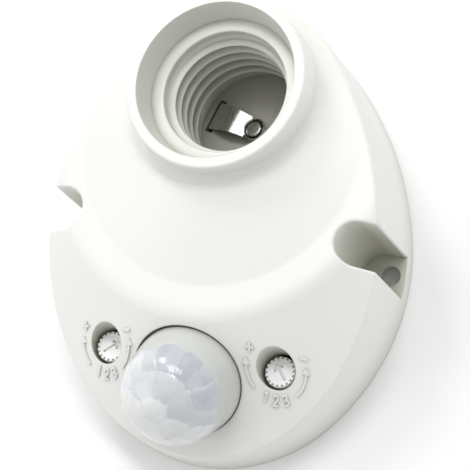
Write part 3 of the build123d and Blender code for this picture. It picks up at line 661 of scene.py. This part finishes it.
def buildLens():
    noise.seed_set(lens["warpSeed"])
    facets = lensFacets()
    tilt = Matrix.Rotation(math.radians(lens["tilt"]), 4, "X")
    place = Matrix.Translation((0, lens["centreY"], lens["centreZ"])) @ tilt
    place = place @ Matrix.Translation((*lens["settle"], 0))
    radius, lift = lens["radius"], lens["lift"]
    profile = lensProfile()
    plain = {"paintedShading": lens["plainPaintedShading"], "edge": 0.0, "ring": 0.0, "cover": 0.0}
    verts, spots = [], []

    def addPoint(point, spot):
        verts.append(place @ point * mm)
        spots.append(spot)

    for i in range(lens["rounds"]):
        turn = 2 * math.pi * i / lens["rounds"]
        for k in range(1, lens["steps"] + 1):
            way = lensWay(math.pi / 2 * k / lens["steps"], turn)
            spot = facetAt(way, facets)
            addPoint(way * (radius + spot["rise"]) + Vector((0, 0, lift)), spot)
        for r, z in profile:
            addPoint(Vector((r * math.cos(turn), r * math.sin(turn), z)), plain)
    spot = facetAt(Vector((0, 0, 1)), facets)
    addPoint(Vector((0, 0, lift + radius + spot["rise"])), spot)
    addPoint(Vector((0, 0, lift + radius - lens["wall"])), plain)
    alongs = lens["steps"] + len(profile)
    faces = gridFaces(lens["rounds"], alongs, False) + endFaces(lens["rounds"], alongs)
    piece = newPiece("sensorLens", verts, faces, "lensPlastic", "holder")
    for key in facetMarks:
        markPoints(piece, facetName(key), [spot[key] for spot in spots])
    flipOutwards(piece)
    smooth(piece, lens["sharpAngle"])
    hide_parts("pir_lens")


# The sloping skirt of the housing, turned on its own axis, carries the raised signs round the two dials
skirt = {"axisY": 14.75, "edgeRadius": 37.2, "edgeHeight": 28.334, "slope": 0.72}

marks = {
    "dialX": 19.5, "dialY": -29.5, "height": 0.32, "sunk": 0.08,
    "width": 0.56, "topShare": 0.76, "sharpest": 0.5,  # the top is narrower, and sharp corners are cut
    "plusAngle": 151.0, "minusAngle": 27.0, "signRadius": 6.2, "signSize": 1.7,
    "radius": 6.1, "arcPieces": 14, "leftArc": (-135.0, -190.0), "rightArc": (-46.0, 12.0),
    "headLength": 1.3, "headWidth": 1.7, "headTip": 0.12, "headPieces": 4, "headGap": 0.8,
    "digits": "123", "digitRadius": 5.0, "digitStep": 20.0, "digitMiddle": -89.0,
    "digitSize": 1.05, "digitBox": (1.1, 1.8), "digitWidth": 0.504,
}

# The line of each digit in its box, before it is scaled
digitLines = {
    "1": ((0.2, 1.4), (0.6, 1.8), (0.6, 0.0)),
    "2": (
        (0.1, 1.35), (0.25, 1.68), (0.55, 1.8), (0.87, 1.66),
        (1.0, 1.33), (0.88, 1.0), (0.1, 0.0), (1.08, 0.0),
    ),
    "3": (
        (0.1, 1.6), (0.5, 1.8), (0.9, 1.62), (0.93, 1.2), (0.5, 0.97),
        (0.95, 0.8), (1.02, 0.4), (0.75, 0.05), (0.35, 0.0), (0.08, 0.2),
    ),
}


def skirtPoint(x, y, lift):
    away = Vector((x, y - skirt["axisY"]))
    height = skirt["edgeHeight"] - skirt["slope"] * (away.length - skirt["edgeRadius"])
    outward = away.normalized() * skirt["slope"]
    normal = Vector((outward.x, outward.y, 1.0)).normalized()
    return (Vector((x, y, height)) + normal * lift) * mm


# A raised stroke along a line of plan points, with a flat top and leaning sides
def addStroke(verts, faces, line, widths):
    first = len(verts)
    sunk, top = -marks["sunk"], marks["height"]
    crown = 0.5 * marks["topShare"]
    sides = ((-0.5, sunk), (-crown, top), (crown, top), (0.5, sunk))
    for k, point in enumerate(line):
        here = Vector(point)
        before = Vector(line[max(k - 1, 0)])
        after = Vector(line[min(k + 1, len(line) - 1)])
        arrive = (here - before).normalized() if k else (after - here).normalized()
        leave = (after - here).normalized() if k < len(line) - 1 else arrive
        along = (arrive + leave).normalized()
        spread = 1 / max(marks["sharpest"], along.dot(arrive))
        across = Vector((-along.y, along.x)) * widths[k] * spread
        for share, lift in sides:
            flat = here + across * share
            verts.append(skirtPoint(flat.x, flat.y, lift))
    count = len(sides)
    for k in range(len(line) - 1):
        for j in range(count):
            a = first + k * count + j
            b = first + k * count + (j + 1) % count
            faces.append((a, b, b + count, a + count))
    faces.append(tuple(first + j for j in reversed(range(count))))
    last = first + (len(line) - 1) * count
    faces.append(tuple(last + j for j in range(count)))


def onCircle(centre, radius, angle):
    turn = math.radians(angle)
    return centre[0] + radius * math.cos(turn), centre[1] + radius * math.sin(turn)


def arcLine(centre, start, end, pieces):
    angles = [start + (end - start) * k / pieces for k in range(pieces + 1)]
    return [onCircle(centre, marks["radius"], angle) for angle in angles]


# Lines of the plus and the minus, each with its widths
def signStrokes(centre):
    strokes = []
    for angle, bars in ((marks["plusAngle"], (0, 90)), (marks["minusAngle"], (0,))):
        middle = Vector(onCircle(centre, marks["signRadius"], angle))
        for bar in bars:
            turn = math.radians(bar)
            half = Vector((math.cos(turn), math.sin(turn))) * marks["signSize"] / 2
            strokes.append(([middle - half, middle + half], [marks["width"]] * 2))
    return strokes


# The two curved arrows, each a shaft and a head that narrows to its tip
def arrowStrokes(centre):
    strokes = []
    head = math.degrees(marks["headLength"] / marks["radius"])
    pieces = marks["headPieces"]
    taper = [marks["headWidth"] * (1 - k / pieces) + marks["headTip"] for k in range(pieces + 1)]
    for start, end in (marks["leftArc"], marks["rightArc"]):
        way = math.copysign(1, end - start)
        shaft = arcLine(centre, start, end - way * head * marks["headGap"], marks["arcPieces"])
        strokes.append((shaft, [marks["width"]] * len(shaft)))
        strokes.append((arcLine(centre, end - way * head, end, pieces), taper))
    return strokes


def digitStrokes(centre):
    strokes = []
    size = marks["digitSize"]
    wide, high = marks["digitBox"]
    first = marks["digitMiddle"] - (len(marks["digits"]) - 1) / 2 * marks["digitStep"]
    for k, digit in enumerate(marks["digits"]):
        angle = first + k * marks["digitStep"]
        foot = Vector(onCircle(centre, marks["digitRadius"] + high * size, angle))
        inward = (Vector(centre) - foot).normalized()
        right = Vector((inward.y, -inward.x))
        line = [foot + right * (x - wide / 2) * size + inward * y * size for x, y in digitLines[digit]]
        strokes.append((line, [marks["digitWidth"]] * len(line)))
    return strokes


def buildMarks(name, side):
    centre = (side * marks["dialX"], marks["dialY"])
    verts, faces = [], []
    for line, widths in signStrokes(centre) + arrowStrokes(centre) + digitStrokes(centre):
        addStroke(verts, faces, line, widths)
    piece = newPiece(name, verts, faces, "signPlastic", "holder")
    flipOutwards(piece)


# Centre contact: a bent spring strip with a pressed button at its tip, and a groove round the button
contact = {
    "rootX": -10.9, "rootY": 27.6, "floor": 9.8, "turn": -15.88,
    "tail": 4.2, "thick": 0.4, "rootWidth": 6.6, "tipWidth": 4.9,
    "tipRadius": 2.5, "tipFrom": 1.6, "leastHalf": 0.05, "reach": 11.33,
    "rise": 2.5, "bulge": 1.6, "archPower": 1.5, "flatEnd": 1.2,  # the arch ends this far before the tip
    "button": 1.6, "buttonHigh": 0.34, "buttonCrown": 0.25, "buttonLean": 0.2,
    "groove": 2.25, "grooveDeep": 0.65, "grooveLean": 0.25,
    "tailStep": 0.35, "cell": 0.12, "across": 28, "sharpAngle": 50.0,
}


# Height of the strip's middle over the floor, along its run
def stripHeight(along):
    share = along / contact["reach"]
    archShare = min(1.0, max(0.0, along / (contact["reach"] - contact["flatEnd"])))
    arch = contact["bulge"] * math.sin(math.pi * archShare) ** contact["archPower"]
    return contact["thick"] / 2 + contact["rise"] * share + arch


def buttonHeight(away):
    button, groove, deep = contact["button"], contact["groove"], contact["grooveDeep"]
    high, crown = contact["buttonHigh"], contact["buttonCrown"]
    if away < button:
        return high * (1 - crown * (away / button) ** 2)
    if away < groove:
        share = fade(away, button, button + contact["buttonLean"])
        return high * (1 - crown) * (1 - share) - deep * share
    return -deep * (1 - fade(away, groove, groove + contact["grooveLean"]))


# Half the strip's width: it narrows to the tip, which is round
def stripHalf(along):
    share = min(1.0, max(0.0, along / (contact["reach"] - contact["flatEnd"])))
    past = along - contact["reach"]
    if past > -contact["tipFrom"]:
        return max(contact["leastHalf"], math.sqrt(max(0.0, contact["tipRadius"] ** 2 - past * past)))
    return (contact["rootWidth"] + (contact["tipWidth"] - contact["rootWidth"]) * share) / 2


def buildContact():
    place = Matrix.Translation((contact["rootX"], contact["rootY"], contact["floor"]))
    place = place @ Matrix.Rotation(math.radians(contact["turn"]), 4, "Z")
    step = contact["tailStep"]
    line = [(0.0, -contact["tail"] + step * k) for k in range(int(contact["tail"] / step))]
    reach = contact["reach"] + contact["tipRadius"]
    count = int(reach / contact["cell"])
    line += [(reach * k / count, stripHeight(reach * k / count)) for k in range(count + 1)]
    across = contact["across"]
    verts = []
    for along, height in line:
        half = stripHalf(along)
        for j in range(across + 1):
            y = half * (2 * j / across - 1)
            lift = buttonHeight(math.hypot(along - contact["reach"], y)) if along > 0 else 0.0
            verts.append(place @ Vector((along, y, height + lift)) * mm)
    faces = []
    for i in range(len(line) - 1):
        for j in range(across):
            a = i * (across + 1) + j
            faces.append((a, a + 1, a + across + 2, a + across + 1))
    piece = newPiece("centreContactStrip", verts, faces, "springSteel", "centre_spring")
    flipOutwards(piece)
    thicken = piece.modifiers.new("thickness", "SOLIDIFY")
    thicken.thickness = contact["thick"] * mm
    thicken.offset = 0.0
    applyModifiers(piece)
    smooth(piece, contact["sharpAngle"])
    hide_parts("centre_contact")


# Turning discs of the two dials, each with a notched rim and a sunk arrow. Each pair says where a slope
# starts and ends, measured from the edge that it belongs to.
rotor = {
    "radius": 3.32, "top": 17.2, "low": 15.32, "stem": 1.5, "foot": 12.3, "roundness": 0.18, "bevel": 0.1,
    "rim": 2.70, "rimHigh": 0.16, "rimSlope": (-0.12, 0.02),
    "notches": 18, "notchDeep": 0.45, "notchWide": 0.40,
    "notchSlope": (-0.06, 0.06), "notchRun": (0.08, 0.22),
    "grooveDeep": 0.45, "grooveHalf": 0.28, "grooveSlope": (-0.08, 0.02),
    "leftArrow": 38.6, "rightArrow": 130.0,  # degrees from +X
    "rounds": 200, "rings": 56, "sharpAngle": 40.0,
}

# Lines of each arrow: shaft first, then the two sides of its head, before the arrow is turned
arrowLines = (((-1.9, 0.0), (1.75, 0.0)), ((1.75, 0.0), (0.85, 0.85)), ((1.75, 0.0), (0.85, -0.85)))


def lineDistance(point, start, end):
    run = end - start
    share = min(1.0, max(0.0, (point - start).dot(run) / run.length_squared))
    return (point - start - run * share).length


# The same over one of the disc's slopes, at the edge that it belongs to
def slope(value, edge, name):
    start, end = rotor[name]
    return fade(value, edge + start, edge + end)


def rotorHeight(radius, turn, lines):
    rim, roundness = rotor["rim"], rotor["roundness"]
    height = rotor["rimHigh"] * slope(radius, rim, "rimSlope")
    past = 1 - (rotor["radius"] - radius) / roundness
    if past > 0:
        height -= roundness * (1 - math.sqrt(max(0.0, 1 - past ** 2)))
    share = (turn * rotor["notches"] / (2 * math.pi)) % 1.0
    away = abs(share - 0.5) * 2 * math.pi * radius / rotor["notches"]
    notch = 1 - slope(away, rotor["notchWide"] / 2, "notchSlope")
    height -= rotor["notchDeep"] * notch * slope(radius, rim, "notchRun")
    point = Vector((radius * math.cos(turn), radius * math.sin(turn)))
    near = min(lineDistance(point, start, end) for start, end in lines)
    groove = 1 - slope(near, rotor["grooveHalf"], "grooveSlope")
    return rotor["top"] - rotor["rimHigh"] + height - rotor["grooveDeep"] * groove


def buildRotor(name, node, body, angle):
    low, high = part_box(node)
    middle = (low + high) / 2 / mm
    turned = Matrix.Rotation(math.radians(angle), 2)
    lines = [(turned @ Vector(start), turned @ Vector(end)) for start, end in arrowLines]
    edge, stem, bevel = rotor["radius"], rotor["stem"], rotor["bevel"]
    under = [
        (edge, rotor["low"] + bevel), (edge - bevel, rotor["low"]), (stem, rotor["low"]),
        (stem, rotor["foot"] + bevel), (stem - bevel, rotor["foot"]),
    ]
    verts = []
    for i in range(rotor["rounds"]):
        turn = 2 * math.pi * i / rotor["rounds"]
        ring = []
        for k in range(1, rotor["rings"] + 1):
            radius = edge * k / rotor["rings"]
            ring.append((radius, rotorHeight(radius, turn, lines)))
        for radius, height in ring + under:
            x = middle.x + radius * math.cos(turn)
            y = middle.y + radius * math.sin(turn)
            verts.append(Vector((x, y, height)) * mm)
    for height in (rotorHeight(0.0, 0.0, lines), rotor["foot"]):
        verts.append(Vector((middle.x, middle.y, height)) * mm)
    alongs = rotor["rings"] + len(under)
    faces = gridFaces(rotor["rounds"], alongs, False) + endFaces(rotor["rounds"], alongs)
    piece = newPiece(name, verts, faces, "rotorNylon", body)
    flipOutwards(piece)
    smooth(piece, rotor["sharpAngle"])
    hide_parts(node)


print("camera, light and floor")
placeCamera()
lightScene()
layFloor()
print("finishes")
makeFinishes()
dressNodes()
print("threaded sleeve")
buildSleeve()
print("sensor lens")
buildLens()
print("dial signs")
buildMarks("leftDialSigns", -1)
buildMarks("rightDialSigns", 1)
print("centre contact")
buildContact()
print("dial discs")
buildRotor("leftDialDisc", "time_trimmer_rotor", "time_dial", rotor["leftArrow"])
buildRotor("rightDialDisc", "lux_trimmer_rotor", "lux_dial", rotor["rightArrow"])
